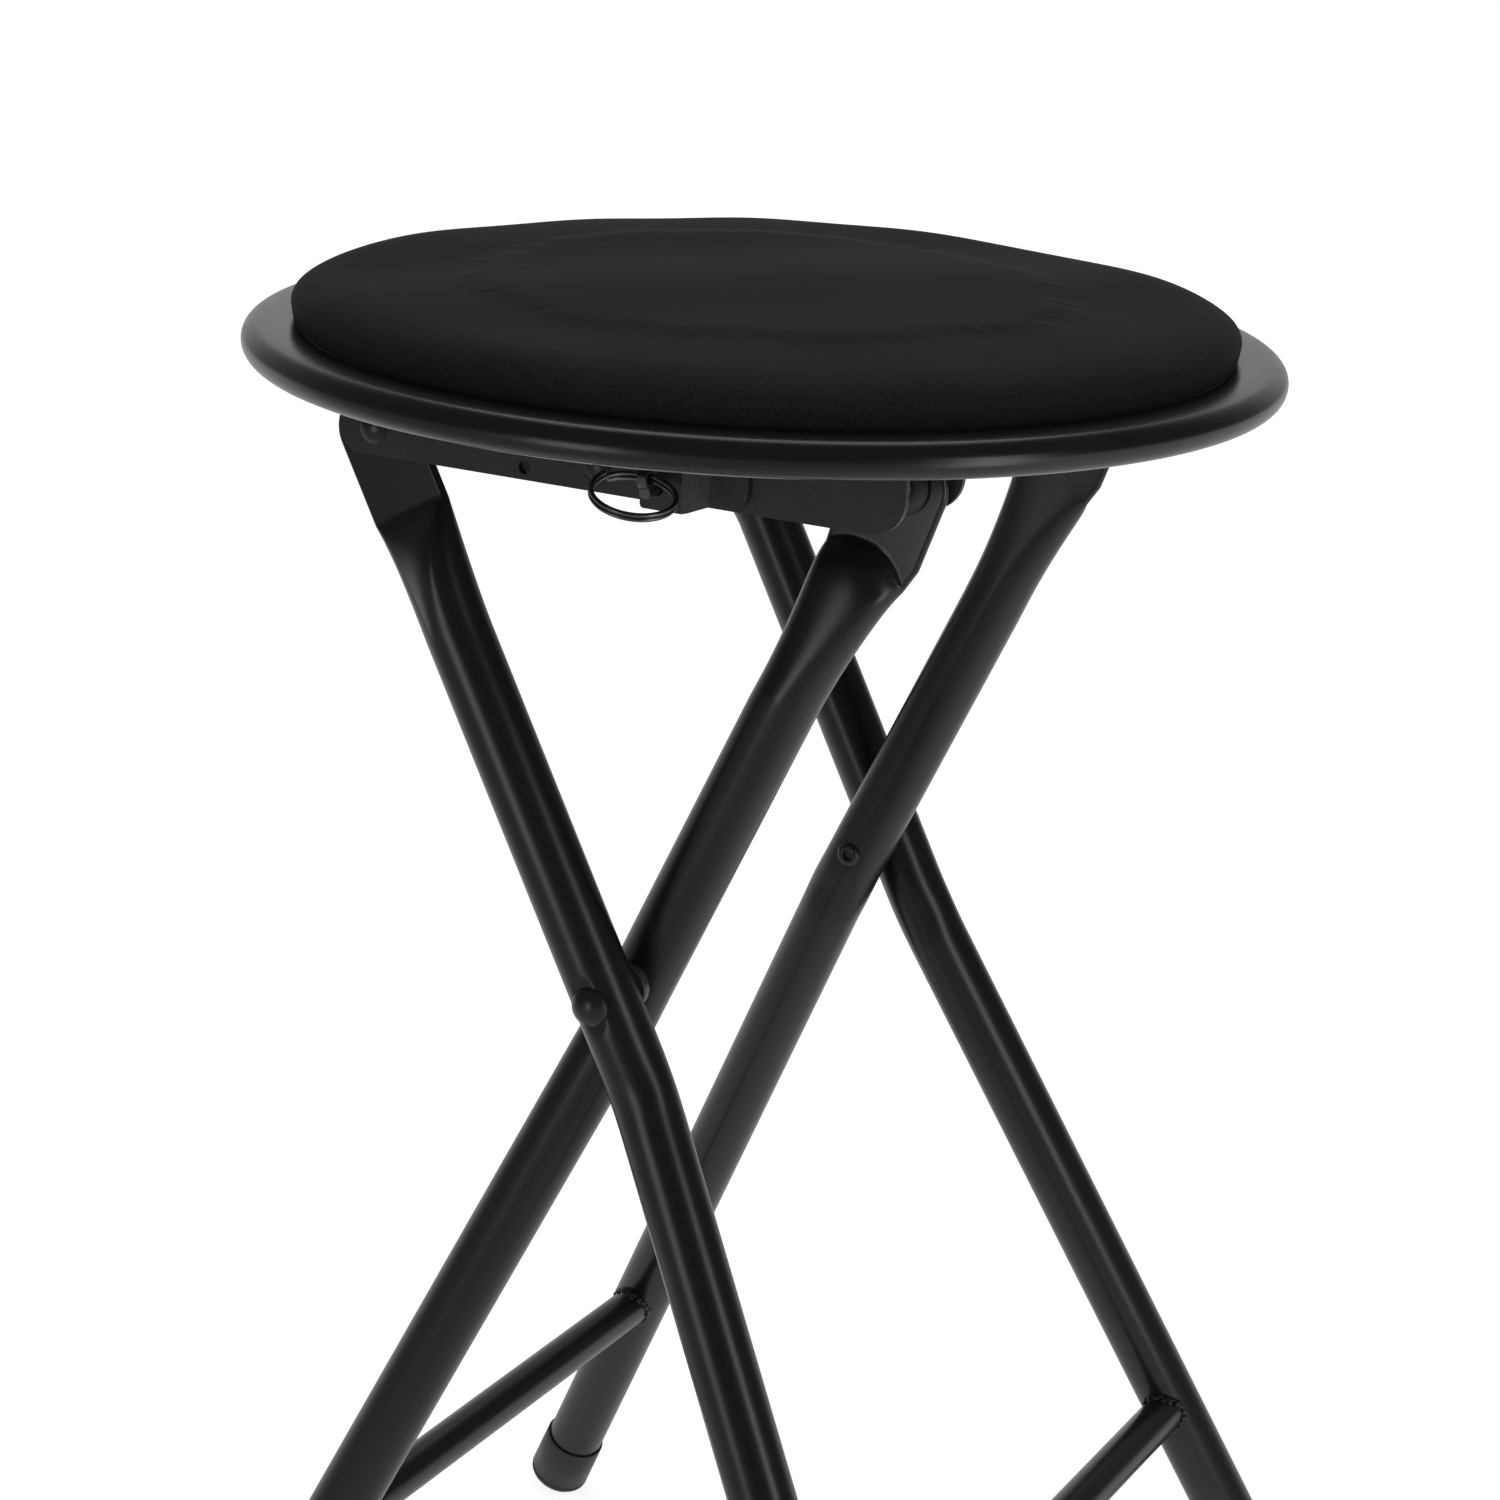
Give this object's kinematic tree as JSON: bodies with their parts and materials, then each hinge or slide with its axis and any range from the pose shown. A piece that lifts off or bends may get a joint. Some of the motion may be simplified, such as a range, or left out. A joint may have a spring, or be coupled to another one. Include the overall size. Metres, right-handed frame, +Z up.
{
  "type": "folding stool",
  "caption": "Round padded folding stool with crossed tube frames, a tip-up seat on toggle links and a ring-pull latch.",
  "frame": {"origin": "on the floor, in the middle of the standing stool's footprint box", "axes": "+Z up; the frames cross in planes of constant Y; the outer frame's feet stand at +X, the inner frame's at -X; the latch is at -Y"},
  "size_m": [0.3086, 0.3024, 0.4705],
  "materials": {
    "frame_black": "semi-gloss powder coat",
    "bracket_grey": "fine textured powder coat",
    "rim_gloss": "gloss enamel",
    "foot_rubber": "satin",
    "rivet_black": "satin",
    "spacer_plastic": "matte",
    "board": "bare fibreboard",
    "pad_cover": "soft grained sheet",
    "screw_steel": "zinc plated",
    "pin_steel": "dark plated",
    "ring_steel": "dark nickel"
  },
  "bodies": {
    "inner_frame": {"inner_leg_rear": "frame_black", "inner_leg_front": "frame_black", "foot_cap_inner_rear": "foot_rubber", "foot_cap_inner_front": "foot_rubber", "cross_rivet_rear": "rivet_black", "cross_rivet_front": "rivet_black", "cross_spacer_rear": "spacer_plastic", "cross_spacer_front": "spacer_plastic", "seat_pivot_rivet_rear": "rivet_black", "seat_pivot_rivet_front": "rivet_black", "seat_pivot_washer_rear": "rivet_black", "seat_pivot_washer_front": "rivet_black", "inner_crossbar": "frame_black"},
    "outer_frame": {"outer_leg_rear": "frame_black", "outer_leg_front": "frame_black", "foot_cap_outer_rear": "foot_rubber", "foot_cap_outer_front": "foot_rubber", "link_rivet_tail_rear": "rivet_black", "link_rivet_tail_front": "rivet_black", "outer_crossbar": "frame_black"},
    "seat": {"seat_bracket_rear": "bracket_grey", "seat_bracket_front": "bracket_grey", "brace_pivot_rivet_rear": "rivet_black", "brace_pivot_rivet_front": "rivet_black", "seat_rim": "rim_gloss", "seat_board": "board", "seat_cushion": "pad_cover", "bracket_screws": "screw_steel", "latch_bracket": "bracket_grey", "latch_spring": "pin_steel"},
    "brace_links": {"brace_link_rear": "bracket_grey", "brace_link_front": "bracket_grey", "link_rivet_head_rear": "rivet_black", "link_rivet_head_front": "rivet_black"},
    "latch_pin": {"latch_pin": "pin_steel"},
    "pull_ring": {"pull_ring": "ring_steel"}
  },
  "joints": [
    {"name": "frame_fold", "type": "hinge", "parent": "inner_frame", "child": "outer_frame", "pos_m": [0.00242, 0, 0.278], "axis": [0, 1, 0], "range_deg": [0, 47.5]},
    {"name": "seat_tip", "type": "hinge", "parent": "inner_frame", "child": "seat", "pos_m": [0.07201, 0, 0.43], "axis": [0, 1, 0], "range_deg": [0, 111.8]},
    {"name": "brace_fold", "type": "hinge", "parent": "seat", "child": "brace_links", "pos_m": [-0.00412, 0, 0.43], "axis": [0, 1, 0], "range_deg": [-169.5, 0]},
    {"name": "latch_slide", "type": "slide", "parent": "seat", "child": "latch_pin", "axis": [0, -1, 0], "range_m": [-0.002, 0.002], "stiffness_N_per_m": 150, "springref_m": -0.005, "deforming": ["latch_spring"]},
    {"name": "ring_swing", "type": "hinge", "parent": "latch_pin", "child": "pull_ring", "pos_m": [0.02008, -0.1122, 0.4335], "axis": [1, 0, 0], "range_deg": [-25, 60]}
  ],
  "couplings": [
    {"joint": "seat_tip", "follows": "frame_fold", "ratio": 2.3473},
    {"joint": "brace_fold", "follows": "frame_fold", "ratio": -3.5593}
  ]
}
